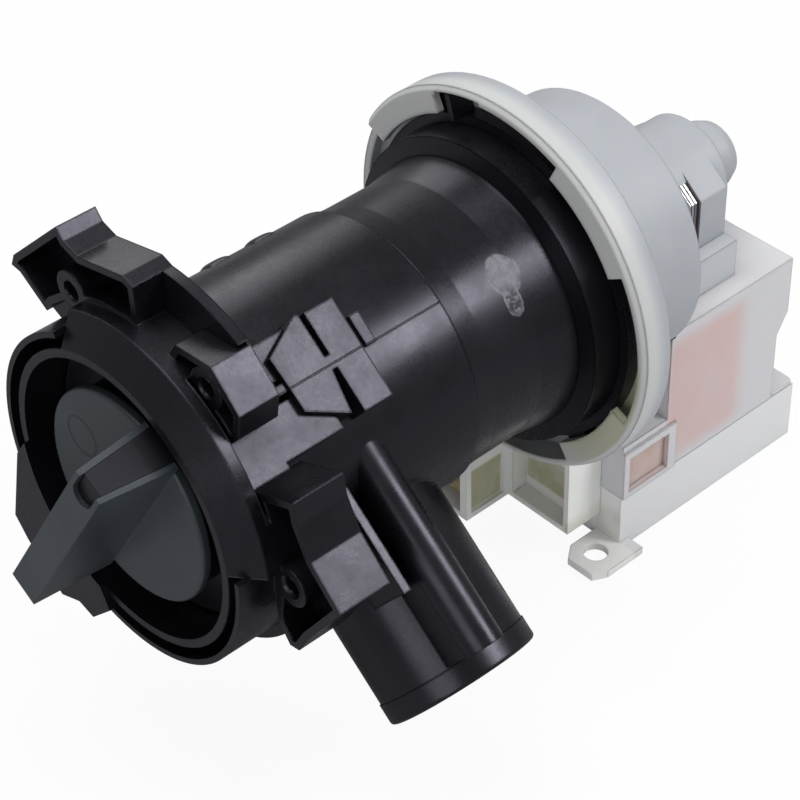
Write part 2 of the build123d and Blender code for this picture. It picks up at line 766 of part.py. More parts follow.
# Bobbins and windings round the two legs
leg_middle = core_half - leg_width / 2
bobbin_bottom = leg_bottom + seat_gap
for side, name in ((-1, "near"), (1, "far")):
    tube_x = core_length / 2 + core_gap + bobbin_wall
    tube_y = leg_width / 2 + core_gap + bobbin_wall
    with BuildPart() as bobbin:
        for z in (bobbin_bottom, coil_top - bobbin_flange):
            with BuildSketch(Plane.XY.offset(z)):
                with Locations((core_middle, side * leg_middle)):
                    Rectangle(2 * (tube_x + winding_end), 2 * (tube_y + winding))
            extrude(amount=bobbin_flange)
        with BuildSketch(Plane.XY.offset(bobbin_bottom)):
            with Locations((core_middle, side * leg_middle)):
                Rectangle(2 * tube_x, 2 * tube_y)
        extrude(amount=coil_top - bobbin_bottom)
        with BuildSketch(Plane.XY.offset(bobbin_bottom - overrun)):
            with Locations((core_middle, side * leg_middle)):
                Rectangle(core_length + 2 * core_gap, leg_width + 2 * core_gap)
        extrude(amount=coil_top - bobbin_bottom + 2 * overrun, mode=Mode.SUBTRACT)
    finish(bobbin, "coil_bobbin_" + name)
    with BuildPart() as coil:
        with BuildSketch(Plane.XY.offset(bobbin_bottom + bobbin_flange + seat_gap)):
            with Locations((core_middle, side * leg_middle)):
                RectangleRounded(2 * (tube_x + winding_end - fit_gap), 2 * (tube_y + winding - fit_gap),
                                 winding_round)
                Rectangle(2 * (tube_x + seat_gap), 2 * (tube_y + seat_gap), mode=Mode.SUBTRACT)
        extrude(amount=coil_top - bobbin_bottom - 2 * bobbin_flange - 2 * seat_gap)
    finish(coil, "coil_winding_" + name)

# Milky cover over the coils, with the window and the neck beside the pole head
with BuildPart() as coil_cover:
    block(box_front, box_back, -box_half, box_half, box_split, box_top)
    block(box_step_front, box_front + box_wall, -box_half, box_half, box_split, box_step_top)
    block(drum_back + fit_gap, neck_back, -neck_half, neck_half, box_top - box_wall, neck_top)
    block(frame_x[0], frame_x[1], -box_half - frame_rise, -box_half + box_wall, box_split, frame_top)
    block(box_front + box_wall, box_back - box_wall - back_notch, -box_half + box_wall, box_half - box_wall,
          box_split - overrun, box_top - box_wall, Mode.SUBTRACT)
    block(box_back - box_wall - back_notch - overrun, box_back - box_wall, -box_half + box_wall,
          box_half - box_wall, back_notch_top, box_top - box_wall, Mode.SUBTRACT)
    with BuildSketch(Plane.XZ.offset(-box_half - overrun)):
        with BuildLine():
            Polyline((box_back + overrun, back_notch_top), (box_back, back_notch_top),
                     (box_back - back_notch, back_notch_top - back_notch_slope),
                     (box_back - back_notch, box_split - overrun),
                     (box_back + overrun, box_split - overrun), close=True)
        make_face()
    extrude(amount=2 * (box_half + overrun), mode=Mode.SUBTRACT)
    block(box_step_front + box_wall, box_front + 2 * box_wall, -box_half + box_wall, box_half - box_wall,
          box_split - overrun, box_step_top - box_wall, Mode.SUBTRACT)
    block(core_front - core_gap, core_front + core_length + core_gap, -core_half - core_gap,
          core_half + core_gap, box_top - box_wall - overrun, neck_top + overrun, Mode.SUBTRACT)
    block(drum_back + fit_gap + box_wall, core_front - core_gap - box_wall, -neck_half + box_wall,
          neck_half - box_wall, box_top - box_wall - overrun, neck_top + overrun, Mode.SUBTRACT)
    pipe(drum_back, box_back, cap_r + fit_gap, mode=Mode.SUBTRACT)
    pipe(box_front - overrun, drum_back + fit_gap, drum_r + fit_gap, mode=Mode.SUBTRACT)
    block(window_x[0], window_x[1], -box_half - frame_rise - overrun, -box_half + window_recess,
          window_z[0], window_z[1], Mode.SUBTRACT)
finish(coil_cover, "coil_cover")

# Base with the connector, its recessed panels and the fixing lug
base_top = box_split - seat_gap
with BuildPart() as terminal_base:
    block(box_step_front, base_back, -box_half, box_half, base_bottom, base_top)
    block(box_step_front + box_wall, base_back - box_wall, -box_half + box_wall, box_half - box_wall,
          base_bottom + base_floor, base_top + overrun, Mode.SUBTRACT)
    block(block_front, box_step_front - seat_gap, block_near, block_far, block_bottom, block_top)
    block(box_step_front - block_wall, box_step_front + box_wall, block_near, block_far, block_bottom,
          base_top)
    block(shroud_front, block_front + block_wall, shroud_near, block_far, block_bottom, block_top)
    block(block_front - overrun, block_front + block_recess, block_near + block_wall,
          shroud_near - block_wall,
          block_bottom + block_wall, block_top - block_wall, Mode.SUBTRACT)
    block(shroud_front + block_wall, block_front - block_wall, shroud_near - overrun,
          shroud_near + panel_recess,
          block_bottom + block_wall, block_top - block_wall, Mode.SUBTRACT)
    block(shroud_front - overrun, shroud_front + socket_depth, shroud_near + block_wall + panel_recess,
          block_far - block_wall, block_bottom + block_wall, block_top - block_wall, Mode.SUBTRACT)
    with BuildSketch(Plane.XY.offset(base_bottom)):
        with BuildLine():
            Polyline((lug_back, lug_near), (lug_front + lug_corner, lug_near),
                     (lug_front, lug_near + lug_corner / 2), (lug_front, block_near - lug_corner / 2),
                     (lug_front + lug_corner, block_near + lug_corner / 4),
                     (lug_back, block_near + lug_corner / 4),
                     close=True)
        make_face()
        with Locations((lug_x, lug_y)):
            Circle(lug_hole_r, mode=Mode.SUBTRACT)
    extrude(amount=lug_thickness)
finish(terminal_base, "terminal_base")

# Two flat terminals in the socket
socket_floor = shroud_front + socket_depth
blade_y = (shroud_near + panel_recess + block_far) / 2
blade_z = block_bottom + block_wall + blade_up
with BuildPart() as connector_terminals:
    for side in (-1, 1):
        y = blade_y + side * blade_pitch / 2
        block(socket_floor - blade_length + blade_root, socket_floor - seat_gap, y - blade_width / 2,
              y + blade_width / 2, blade_z - blade_thickness / 2, blade_z + blade_thickness / 2)
finish(connector_terminals, "connector_terminals")

# Cap over the pole head and the end of the can
with BuildPart() as rear_cap:
    cap_bore_r = core_arch_r + seat_gap
    end_bore_r = cap_end_r - cap_wall
    bore_end = core_front + core_length + core_gap
    lathe([(cap_front, 0), (cap_front, cap_r), (cap_step, cap_r), (cap_step + cap_shoulder,
                                                                   cap_r - cap_shoulder),
           (cap_step + cap_shoulder, cap_end_r), (cap_end - cap_round, cap_end_r),
           (cap_end - cap_round * round_share, cap_end_r - cap_round * round_share),
           (cap_end, cap_end_r - cap_round), (cap_end, 0)])
    with BuildSketch(station(hood_front)):
        core_outline(hood_wall)
        with Locations((0, neck_top - core_half)):
            Rectangle(4 * core_half, 2 * core_half, mode=Mode.SUBTRACT)
        with Locations((0, leg_bottom)):
            Rectangle(4 * core_half, 2 * (neck_top - leg_bottom - core_half), mode=Mode.SUBTRACT)
    extrude(amount=bore_end + cap_wall - hood_front)
    with BuildSketch(station(cap_front - overrun)):
        Circle(cap_bore_r)
    extrude(amount=bore_end - cap_front + overrun, mode=Mode.SUBTRACT)
    with BuildSketch(station(core_front - core_gap)):
        core_outline(core_gap)
    extrude(amount=bore_end - core_front + core_gap, mode=Mode.SUBTRACT)
    lathe([(bore_end - overrun, 0), (bore_end - overrun, end_bore_r), (cap_end - cap_round, end_bore_r),
           (cap_end - cap_wall, end_bore_r - cap_round + cap_wall), (cap_end - cap_wall, 0)],
           mode=Mode.SUBTRACT)
    pipe(bore_end - overrun, can_step + core_gap, can_r + core_gap, mode=Mode.SUBTRACT)
    block(cap_front - overrun, neck_back + fit_gap, -cap_r - overrun, cap_r + overrun, -cap_r - overrun,
          neck_top,
          Mode.SUBTRACT)
finish(rear_cap, "rear_cap")
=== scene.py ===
import json
import math

import bpy
import numpy as np
from mathutils import Matrix, Vector


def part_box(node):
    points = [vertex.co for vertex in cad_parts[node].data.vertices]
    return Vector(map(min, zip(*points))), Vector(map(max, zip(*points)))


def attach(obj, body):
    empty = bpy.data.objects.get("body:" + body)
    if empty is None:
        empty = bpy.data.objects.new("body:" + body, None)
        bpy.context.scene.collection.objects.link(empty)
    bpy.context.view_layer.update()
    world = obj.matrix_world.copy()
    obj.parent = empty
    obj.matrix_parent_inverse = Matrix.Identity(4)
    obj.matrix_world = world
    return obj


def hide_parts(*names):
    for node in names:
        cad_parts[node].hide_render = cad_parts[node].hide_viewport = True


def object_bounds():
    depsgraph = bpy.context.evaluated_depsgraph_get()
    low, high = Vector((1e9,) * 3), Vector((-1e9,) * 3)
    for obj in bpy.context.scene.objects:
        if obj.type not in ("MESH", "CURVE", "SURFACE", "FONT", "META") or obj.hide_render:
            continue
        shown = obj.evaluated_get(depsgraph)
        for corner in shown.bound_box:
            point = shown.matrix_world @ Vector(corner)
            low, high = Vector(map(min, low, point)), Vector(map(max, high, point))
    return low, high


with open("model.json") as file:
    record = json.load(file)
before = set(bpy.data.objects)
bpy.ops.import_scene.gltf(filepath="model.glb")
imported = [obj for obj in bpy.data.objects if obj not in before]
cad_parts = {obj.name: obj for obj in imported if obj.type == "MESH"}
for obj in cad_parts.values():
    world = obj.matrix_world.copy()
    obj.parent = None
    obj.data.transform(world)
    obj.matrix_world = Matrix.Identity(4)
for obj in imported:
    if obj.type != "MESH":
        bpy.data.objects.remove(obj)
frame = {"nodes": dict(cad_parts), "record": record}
cadBox = [list(corner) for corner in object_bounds()]
nodes = frame["nodes"]
print("frame loaded:", len(nodes), "nodes")

viewPoint = {
    "place": (-0.2353, -0.3480, 0.3730),
    "right": (0.735463, -0.677261, -0.020305),
    "down": (-0.448274, -0.463889, -0.764106),
    "ahead": (0.508079, 0.571074, -0.644771),
    "focal": 112.73,  # millimetres, as the sensor
    "sensor": 36,
    "nearest": 0.02,
}


def setCamera(view):
    data = bpy.data.cameras.new("camera")
    data.lens = view["focal"]
    data.sensor_width = view["sensor"]
    data.clip_start = view["nearest"]
    camera = bpy.data.objects.new("camera", data)
    bpy.context.scene.collection.objects.link(camera)
    columns = [Vector(view["right"]), -Vector(view["down"]), -Vector(view["ahead"])]
    turn = Matrix(columns).transposed().to_4x4()
    camera.matrix_world = Matrix.Translation(view["place"]) @ turn
    bpy.context.scene.camera = camera


studio = {
    "floorSize": 6.0,
    "floorGap": 0.0005,  # between the lowest solid and the floor
    "floorColour": (0.86, 0.86, 0.87, 1),
    "floorMirrored": (0.26, 0.26, 0.28, 1),  # what glossy rays see of it
    "floorRough": 0.9,
    "floorGlow": 0.93,  # share of plain white in what the camera sees of it
    "glowColour": (1, 1, 1, 1),
    "worldColour": (1.0, 1.0, 1.0, 1),
    "worldLevel": 0.26,  # what lights the part; the camera sees a level of 1
    "lamps": (
        # name, place, aim, width, watts
        ("softTop", (-0.05, 0.05, 1.00), (0.07, 0, 0), 0.70, 6.2),
        ("softLeft", (-0.80, -0.50, 0.30), (0.05, 0, 0), 0.60, 2.0),
        ("softBack", (0.30, 0.80, 0.55), (0.05, 0, 0), 0.60, 2.2),
        ("softRight", (0.62, -0.72, 0.74), (0.08, 0, 0), 0.42, 5.6),
    ),
}


class Shade:
    # a socket that builds Math nodes when it is used in sums
    def __init__(self, maker, socket):
        self.maker = maker
        self.socket = socket

    def sum(self, kind, other, swap=False):
        pair = (other, self) if swap else (self, other)
        return self.maker.node("Math", {"operation": kind}, {0: pair[0], 1: pair[1]})

    def __add__(self, other):
        return self.sum("ADD", other)

    def __radd__(self, other):
        return self.sum("ADD", other, True)

    def __sub__(self, other):
        return self.sum("SUBTRACT", other)

    def __rsub__(self, other):
        return self.sum("SUBTRACT", other, True)

    def __mul__(self, other):
        return self.sum("MULTIPLY", other)

    def __truediv__(self, other):
        return self.sum("DIVIDE", other)

    def root(self):
        return self.maker.node("Math", {"operation": "SQRT"}, {0: self})

    def size(self):
        return self.maker.node("Math", {"operation": "ABSOLUTE"}, {0: self})

    def most(self, other):
        return self.sum("MAXIMUM", other)

    def least(self, other):
        return self.sum("MINIMUM", other)

    def wave(self):
        return self.maker.node("Math", {"operation": "SINE"}, {0: self})

    def swing(self, amount):
        # a noise of 0..1 as a change up or down, by half the amount at most
        return (self - 0.5) * amount

    def ease(self, low, high):
        # 0 below low, 1 above high, smooth between; low may be the larger
        settings = {"interpolation_type": "SMOOTHSTEP", "clamp": True}
        if low <= high:
            return self.maker.node("MapRange", settings, {0: self, 1: low, 2: high, 3: 0.0, 4: 1.0})
        return self.maker.node("MapRange", settings, {0: self, 1: high, 2: low, 3: 1.0, 4: 0.0})

    def both(self, first, second):
        # two eases at once, for what begins at one place and ends at another
        return self.ease(*first) * self.ease(*second)

    def inside(self, low, high, soft):
        # 1 between low and high, fading out over a width of soft before each
        return self.both((low, low + soft), (high, high - soft))


class Finish:
    # one node material, made socket by socket
    def __init__(self, name, **constants):
        self.material = bpy.data.materials.new(name)
        self.material.use_nodes = True
        self.tree = self.material.node_tree
        self.shader = self.tree.nodes["Principled BSDF"]
        for key, value in constants.items():
            self.shader.inputs[key.replace("_", " ")].default_value = value
        self.place = self.node("TexCoord", {}, {}, "Object")
        self.x, self.y, self.z = [self.node("SeparateXYZ", {}, {0: self.place}, k) for k in range(3)]

    def node(self, kind, settings, inputs, output=0):
        made = self.tree.nodes.new("ShaderNode" + kind)
        for key, value in settings.items():
            setattr(made, key, value)
        for key, value in inputs.items():
            socket = made.inputs[key]
            if isinstance(value, Shade):
                self.tree.links.new(value.socket, socket)
            else:
                socket.default_value = value
        return Shade(self, made.outputs[output])

    def noise(self, scale, detail, rough=0.55):
        inputs = {"Vector": self.place, "Scale": scale, "Detail": detail, "Roughness": rough}
        return self.node("TexNoise", {}, inputs)

    def streaks(self, scales):
        # noise with a scale for each axis, drawn out along those with a small one
        place = self.node("Mapping", {}, {"Vector": self.place, "Scale": scales})
        return self.node("TexNoise", {}, {"Vector": place, "Scale": 1.0})

    def mix(self, amount, first, second):
        settings = {"data_type": "RGBA"}
        return self.node("Mix", settings, {0: amount, 6: first, 7: second}, 2)

    def colour(self, value):
        self.link(value, "Base Color")

    def rough(self, value):
        self.link(value, "Roughness")

    def link(self, value, name):
        self.tree.links.new(value.socket, self.shader.inputs[name])

    def relief(self, height, depth, strength, edge=0.0):
        # height 0..1 over a depth in metres, with corners rounded by edge
        inputs = {"Strength": strength, "Distance": depth, "Height": height}
        if edge:
            inputs["Normal"] = self.node("Bevel", {"samples": 4}, {"Radius": edge})
        self.link(self.node("Bump", {}, inputs), "Normal")

    def near(self, centre, radii):
        # 0 at the centre of an ellipsoid, 1 on it
        total = 0.0
        for axis, at, radius in zip((self.x, self.y, self.z), centre, radii):
            step = (axis - at) / radius
            total = step * step + total
        return total.root()


# In the looks below, a noise is its scale and detail, and its roughness where it isn't the usual one.
# A pair of limits goes to ease, a share or swing is how much a noise counts, and a relief is
# its depth and strength, and how far corners are rounded.
black = {
    "deep": (0.0048, 0.0046, 0.0066, 1),
    "dusty": (0.022, 0.0205, 0.027, 1),
    "scuff": (0.200, 0.195, 0.215, 1),
    "sheen": (0.87, 0.84, 1.0, 1),
    "cloud": (38, 5),
    "blotch": (120, 4, 0.7),
    "fine": (900, 3),
    "grain": (2600, 2),
    # dust lies in patches on what looks up, and thinly all over
    "dustCloud": (0.42, 0.72),
    "dustLift": (-0.1, 0.9),
    "dustShare": 0.30,
    "thinFine": (0.56, 0.80),
    "thinShare": 0.10,
    # gate mark and its tail, each a centre and radii, with limits in the distance from it
    "gate": ((0.0856, -0.0247, 0.0264), (0.0044, 0.0052, 0.0052)),
    "tail": ((0.0850, -0.0290, 0.0216), (0.0024, 0.0042, 0.0042)),
    "edgeNoise": (300, 2),
    "edgeSwing": 0.35,
    "rim": ((1.12, 0.98), (0.70, 0.98)),
    "rimNoise": (260, 2),
    "rimBreaks": (0.30, 0.55),
    "patch": (1.10, 0.80),
    "patchNoise": (520, 4),
    "patchGrain": (0.36, 0.66),
    "patchShare": 0.60,
    "patchLeast": 0.28,
    "speck": (1.0, 0.7),
    "speckNoise": (1100, 3),
    "speckGrain": (0.58, 0.48),
    "speckShare": 0.8,
    "rough": 0.29,
    "roughCloud": 0.20,
    "roughBlotch": 0.22,
    "roughScuff": 0.22,
    "roughFine": 0.10,
    # raised seam along the tube, at an angle round it, and a sunk line across the tube
    "seamAngle": 130.0,
    "seamWidth": (0.00030, 0.00005),
    "seamOut": (0.030, 0.033),
    "seamX": (0.0140, 0.0665),
    "seamFade": 0.001,
    "stepX": 0.0669,
    "stepWidth": (0.00035, 0.00012),
    "stepZ": (-0.0300, -0.0200),
    "reliefGrain": 0.45,
    "reliefFine": 0.35,
    "reliefScuff": 0.8,
    "reliefLine": 5.0,
    "relief": (0.00003, 0.8, 0.0007),
}


def blackHousing(look):
    made = Finish("blackHousing", Specular_IOR_Level=0.5, Specular_Tint=look["sheen"])
    cloud = made.noise(*look["cloud"])
    blotch = made.noise(*look["blotch"])
    fine = made.noise(*look["fine"])
    grain = made.noise(*look["grain"])
    up = made.node("NewGeometry", {}, {}, "Normal")
    lift = made.node("SeparateXYZ", {}, {0: up}, 2)
    dust = cloud.ease(*look["dustCloud"]) * lift.ease(*look["dustLift"]) * look["dustShare"]
    dust = dust + fine.ease(*look["thinFine"]) * look["thinShare"]
    edge = made.noise(*look["edgeNoise"]).swing(look["edgeSwing"])
    tail = made.near(*look["tail"]) + edge
    gate = (made.near(*look["gate"]) + edge).least(tail)
    rim = gate.both(*look["rim"]) * made.noise(*look["rimNoise"]).ease(*look["rimBreaks"])
    mottle = made.noise(*look["patchNoise"]).ease(*look["patchGrain"])
    patch = gate.ease(*look["patch"]) * (mottle * look["patchShare"] + look["patchLeast"])
    specks = tail.ease(*look["speck"]) * made.noise(*look["speckNoise"]).ease(*look["speckGrain"])
    scuffed = rim.most(patch) * (1 - specks * look["speckShare"])
    plastic = made.mix(dust, look["deep"], look["dusty"])
    made.colour(made.mix(scuffed, plastic, look["scuff"]))
    rough = look["rough"] + cloud.swing(look["roughCloud"]) + blotch.swing(look["roughBlotch"])
    made.rough(rough + scuffed * look["roughScuff"] + fine.swing(look["roughFine"]))
    angle = math.radians(look["seamAngle"])
    across = made.y * math.sin(angle) - made.z * math.cos(angle)
    outward = made.y * math.cos(angle) + made.z * math.sin(angle)
    seam = across.size().ease(*look["seamWidth"]) * outward.ease(*look["seamOut"])
    seam = seam * made.x.inside(*look["seamX"], look["seamFade"])
    step = (made.x - look["stepX"]).size().ease(*look["stepWidth"]) * made.z.ease(*look["stepZ"])
    height = grain * look["reliefGrain"] + fine * look["reliefFine"] + scuffed * look["reliefScuff"]
    made.relief(height + seam * look["reliefLine"] - step * look["reliefLine"], *look["relief"])
    return made.material


plug = {
    "deep": (0.0055, 0.0055, 0.0070, 1),
    "dusty": (0.014, 0.0135, 0.017, 1),
    "sheen": black["sheen"],
    "cloud": (60, 4),
    "fine": (1500, 3),
    "dustCloud": (0.35, 0.75),
    "dustShare": 0.5,
    "rough": 0.36,
    "roughFine": 0.16,
    "relief": (0.00002, 0.7, 0.0005),
}


def blackFilter(look):
    made = Finish("blackFilter", Specular_IOR_Level=0.42, Specular_Tint=look["sheen"])
    cloud = made.noise(*look["cloud"])
    fine = made.noise(*look["fine"])
    dust = cloud.ease(*look["dustCloud"]) * look["dustShare"]
    made.colour(made.mix(dust, look["deep"], look["dusty"]))
    made.rough(look["rough"] + fine.swing(look["roughFine"]))
    made.relief(fine, *look["relief"])
    return made.material


knob = {
    "face": (0.034, 0.043, 0.050, 1),
    "worn": (0.070, 0.084, 0.095, 1),
    # painted shade: the dark colour painted into the mould mark's groove
    "grooveShade": (0.014, 0.016, 0.018, 1),
    "cloud": (45, 4),
    "fine": (1700, 3),
    "scuffNoise": (210, 5),
    # round mould mark, whose groove is painted dark as painted shade: Y and Z of its middle, its radius,
    # limits in radii and limits in X
    "mark": (0.0145, 0.0088),
    "markR": 0.0052,
    "markLine": ((0.88, 0.95), (1.08, 1.01)),
    "markX": (-0.0085, -0.0078),
    "markShare": 0.75,
    "scuffGrain": (0.60, 0.74),
    "scuffShare": 0.35,
    "wornCloud": (0.3, 0.8),
    "wornShare": 0.35,
    "rough": 0.36,
    "roughCloud": 0.14,
    "roughScuff": 0.3,
    "reliefFine": 0.6,
    "reliefMark": 4.0,
    "relief": (0.00003, 0.8, 0.0006),
}


def greyGrip(look):
    made = Finish("greyGrip", Specular_IOR_Level=0.5)
    cloud = made.noise(*look["cloud"])
    fine = made.noise(*look["fine"])
    dy = (made.y - look["mark"][0]) / look["markR"]
    dz = (made.z - look["mark"][1]) / look["markR"]
    ring = (dy * dy + dz * dz).root()
    groove = ring.both(*look["markLine"]) * made.x.ease(*look["markX"])
    scuff = made.noise(*look["scuffNoise"]).ease(*look["scuffGrain"]) * look["scuffShare"]
    worn = cloud.ease(*look["wornCloud"]) * look["wornShare"] + scuff
    plastic = made.mix(worn, look["face"], look["worn"])
    # painted shade: the mould mark's groove is painted dark
    made.colour(made.mix(groove * look["markShare"], plastic, look["grooveShade"]))
    made.rough(look["rough"] + cloud.swing(look["roughCloud"]) + scuff * look["roughScuff"])
    made.relief(fine * look["reliefFine"] - groove * look["reliefMark"], *look["relief"])
    return made.material


cover = {
    "face": (0.440, 0.458, 0.490, 1),
    "shade": (0.375, 0.393, 0.425, 1),
    # painted light: the colour the front end of the cover is painted with, lighter than the rest
    "paintedLight": (0.60, 0.612, 0.600, 1),
    # painted shade: the darker yellowish colour painted where shade falls, in hollows and low places
    "paintedShade": (0.50, 0.50, 0.36, 1),
    "cloud": (30, 4),
    "fine": (1400, 3),
    "shadeCloud": (0.3, 0.75),
    "lines": 5200,  # fine turning lines, in radians for each metre of radius
    # painted light: where the front end of the cover is painted lighter, and how much
    "paintedLightX": (0.1130, 0.1085),
    "paintedLightShare": 0.75,
    # the low part of the ring's inside, painted darker and yellowish: painted shade
    "innerR": (0.0503, 0.0498),
    "innerX": (0.1150, 0.1120),
    "innerZ": ((0.0100, -0.0100), (-0.0420, -0.0300)),
    "innerShare": 0.8,
    "rough": 0.46,
    "roughCloud": 0.12,
    "reliefFine": 0.5,
    "reliefLines": 0.10,
    "relief": (0.00003, 0.7, 0.0012),
}


def whiteCover(look):
    made = Finish("whiteCover", Specular_IOR_Level=0.45, Subsurface_Weight=0.12, Subsurface_Scale=0.002)
    cloud = made.noise(*look["cloud"])
    fine = made.noise(*look["fine"])
    radius = (made.y * made.y + made.z * made.z).root()
    rings = (radius * look["lines"]).wave()
    plastic = made.mix(cloud.ease(*look["shadeCloud"]), look["face"], look["shade"])
    # painted light: the front end of the cover is painted lighter than the rest
    paintedLight = made.x.ease(*look["paintedLightX"]) * look["paintedLightShare"]
    # painted shade: the low part of the ring's inside is painted darker and yellowish
    inner = radius.ease(*look["innerR"]) * made.x.ease(*look["innerX"])
    inner = inner * made.z.both(*look["innerZ"]) * look["innerShare"]
    made.colour(made.mix(inner, made.mix(paintedLight, plastic, look["paintedLight"]), look["paintedShade"]))
    made.rough(look["rough"] + cloud.swing(look["roughCloud"]))
    made.relief(fine * look["reliefFine"] + rings * look["reliefLines"], *look["relief"])
    return made.material


milky = {
    "face": (0.660, 0.658, 0.680, 1),
    "cool": (0.57, 0.585, 0.61, 1),
    "glow": (0.66, 0.405, 0.375, 1),
    "coil": (0.57, 0.40, 0.345, 1),
    "neck": (0.54, 0.56, 0.59, 1),
    "cloud": (55, 4),
    "fine": (1300, 3),
    "coolShare": 0.25,
    # the coils behind the side walls, a soft block in X and Z that fades towards its edges
    "glowX": ((0.1405, 0.1430), (0.1735, 0.1650)),
    "glowZ": ((-0.0670, -0.0600), (-0.0215, -0.0275)),
    "glowY": ((0.0262, 0.0276), (0.0284, 0.0281)),
    "glowShare": 0.62,
    "glowCloud": 0.5,
    # their weaker blush on the top
    "blushZ": (-0.0225, -0.0212),
    "blushX": ((0.1480, 0.1560), (0.1800, 0.1700)),
    "blushY": (0.027, 0.018),
    "blushStart": (0.142, 0.150),
    "blushShare": 0.16,
    # the window in the near wall
    "paneX": (0.1272, 0.1416),
    "paneZ": (-0.0646, -0.0534),
    "paneY": (-0.0262, -0.0266),
    "paneSoft": 0.0002,
    "paneNoise": (190, 4),
    "paneGrain": (0.30, 0.70),
    "paneShare": 0.35,
    "paneLeast": 0.65,
    "neckZ": (-0.0209, -0.0206),
    "rough": 0.42,
    "roughCloud": 0.14,
    "relief": (0.00002, 0.6, 0.0010),
}


def milkyBox(look):
    made = Finish("milkyBox", Specular_IOR_Level=0.45, Subsurface_Weight=0.15, Subsurface_Scale=0.003)
    cloud = made.noise(*look["cloud"])
    fine = made.noise(*look["fine"])
    glow = made.x.both(*look["glowX"]) * made.z.both(*look["glowZ"])
    glow = glow * made.y.size().both(*look["glowY"])
    glow = glow * (look["glowShare"] + cloud.swing(look["glowCloud"]))
    onTop = made.z.ease(*look["blushZ"]) * made.x.both(*look["blushX"])
    blush = onTop * made.y.size().ease(*look["blushY"]) * made.x.ease(*look["blushStart"])
    blush = blush * look["blushShare"]
    plastic = made.mix(cloud * look["coolShare"], look["face"], look["cool"])
    soft = look["paneSoft"]
    (startX, endX), (startZ, endZ) = look["paneX"], look["paneZ"]
    window = made.x.inside(startX - soft, endX + soft, 2 * soft)
    window = window * made.z.inside(startZ - soft, endZ + soft, 2 * soft)
    mottle = made.noise(*look["paneNoise"]).ease(*look["paneGrain"])
    window = window * made.y.ease(*look["paneY"]) * (mottle * look["paneShare"] + look["paneLeast"])
    neck = made.z.ease(*look["neckZ"])
    seen = made.mix(neck, made.mix(glow.most(blush), plastic, look["glow"]), look["neck"])
    made.colour(made.mix(window, seen, look["coil"]))
    made.rough(look["rough"] + cloud.swing(look["roughCloud"]))
    made.relief(fine, *look["relief"])
    return made.material


foot = {
    "face": (0.77, 0.775, 0.785, 1),
    # painted light: the front of the base is painted lighter than the rest
    "front": (0.90, 0.905, 0.885, 1),
    # painted shade: the darker yellowish colour painted on the recess floors and the low band of the front
    "paintedShade": (0.44, 0.435, 0.255, 1),
    "cloud": (70, 4),
    "fine": (1300, 3),
    "frontX": (0.1256, 0.1250),
    # each recess, whose floor is painted darker and yellowish as painted shade: X, Y and Z limits of its
    # floor
    "recesses": (((0.1140, 0.1210), (-0.0192, -0.0003), (-0.0715, -0.0520)),
                 ((0.0990, 0.1115), (0.0014, 0.0025), (-0.0745, -0.0600))),
    "recessSoft": 0.0012,  # but a quarter of a narrow one
    # the low band of the front, painted darker and yellowish: painted shade
    "bandZ": ((-0.0700, -0.0750), (-0.0819, -0.0812)),
    "bandY": (-0.0190, -0.0200),
    "bandShare": 0.6,
    # the painted shade varies in patches: limits in cloud, then its share and its least
    "paintedShadeCloud": (0.30, 0.60),
    "paintedShadeShare": 0.55,
    "paintedShadeLeast": 0.35,
    "rough": 0.43,
    "roughCloud": 0.12,
    "relief": (0.00002, 0.6, 0.0006),
}


def whiteBase(look):
    made = Finish("whiteBase", Specular_IOR_Level=0.45, Subsurface_Weight=0.15, Subsurface_Scale=0.003)
    cloud = made.noise(*look["cloud"])
    fine = made.noise(*look["fine"])
    # painted light: the front of the base is painted lighter than the rest
    front = made.x.ease(*look["frontX"])
    # painted shade: recess floors and a low band of the front are painted darker and yellowish, in patches
    paintedShade = 0.0
    for limits in look["recesses"]:
        within = 1.0
        for axis, (low, high) in zip((made.x, made.y, made.z), limits):
            soft = min(look["recessSoft"], (high - low) / 4)
            within = axis.inside(low, high, soft) * within
        paintedShade = within + paintedShade
    band = made.z.both(*look["bandZ"]) * made.y.ease(*look["bandY"]) * front * look["bandShare"]
    patchy = cloud.ease(*look["paintedShadeCloud"]) * look["paintedShadeShare"] + look["paintedShadeLeast"]
    plastic = made.mix(front, look["face"], look["front"])
    made.colour(made.mix(paintedShade.most(band) * patchy, plastic, look["paintedShade"]))
    made.rough(look["rough"] + cloud.swing(look["roughCloud"]))
    made.relief(fine, *look["relief"])
    return made.material


sheets = {
    "pitch": 0.00112,
    "bright": (0.80, 0.80, 0.81, 1),
    "dull": (0.52, 0.51, 0.50, 1),
    "dark": (0.05, 0.045, 0.045, 1),
    "gap": (-0.35, -0.85),
    "streaks": (900, 40, 40),
    "dullStreak": (0.35, 0.65),
    "dullShare": 0.4,
    "rough": 0.26,
    "roughGap": 0.3,
    "roughStreak": 0.12,
    "relief": (0.00012, 0.9),
}


def stackedSteel(look):
    made = Finish("stackedSteel", Metallic=1.0)
    gap = (made.x * (2 * math.pi / look["pitch"])).wave().ease(*look["gap"])
    streak = made.streaks(look["streaks"])
    dulled = streak.ease(*look["dullStreak"]) * look["dullShare"]
    steel = made.mix(dulled, look["bright"], look["dull"])
    made.colour(made.mix(gap, steel, look["dark"]))
    made.rough(look["rough"] + gap * look["roughGap"] + streak.swing(look["roughStreak"]))
    made.relief(1 - gap, *look["relief"])
    return made.material


